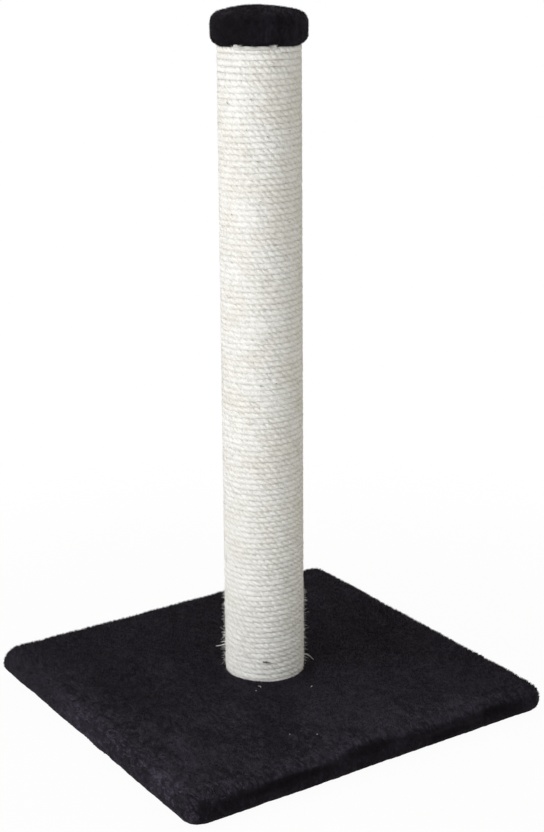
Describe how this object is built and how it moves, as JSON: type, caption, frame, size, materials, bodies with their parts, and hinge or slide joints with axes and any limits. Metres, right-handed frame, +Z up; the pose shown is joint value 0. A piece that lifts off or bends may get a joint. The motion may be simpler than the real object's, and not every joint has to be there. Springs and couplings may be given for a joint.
{
  "type": "cat scratching post",
  "caption": "Cat scratching post: upright tube wound with natural sisal rope, on a plush-covered board base, with a padded plush cap.",
  "frame": {"origin": "on the floor under the middle of the base, on the post's axis", "axes": "+Z up along the post; the long front edge of the base faces -Y; +X to the right"},
  "size_m": [0.4, 0.383, 0.6588],
  "materials": {
    "chipboard": "raw pressed chips, sawn edges",
    "black_plush": "short black pile with a soft grey sheen",
    "liner_cloth": "thin black non-woven cloth with a fine embossed grid",
    "foot_rubber": "matt black",
    "zinc_steel": "bright zinc plate",
    "staple_steel": "galvanised wire",
    "tube_card": "brown wound board",
    "plug_wood": "raw plywood",
    "sisal_rope": "natural white laid sisal, hairy",
    "cap_foam": "open-cell foam"
  },
  "bodies": {
    "root": {"base_board": "chipboard", "base_plush": "black_plush", "base_staples": "staple_steel", "base_liner": "liner_cloth", "liner_staples": "staple_steel", "foot_front_left": "foot_rubber", "foot_front_right": "foot_rubber", "foot_back_left": "foot_rubber", "foot_back_right": "foot_rubber", "base_bolt": "zinc_steel", "base_washer": "zinc_steel", "post_tube": "tube_card", "bottom_plug": "plug_wood", "top_plug": "plug_wood", "bottom_tee_nut": "zinc_steel", "top_tee_nut": "zinc_steel", "bottom_plug_nails": "staple_steel", "top_plug_nails": "staple_steel", "rope_turns_bottom": "sisal_rope", "rope_turns_top": "sisal_rope", "rope_wrap": "sisal_rope", "rope_staples": "staple_steel", "cap_disc": "plug_wood", "cap_foam": "cap_foam", "cap_plush": "black_plush", "cap_staples": "staple_steel", "cap_stud": "zinc_steel"}
  },
  "joints": []
}
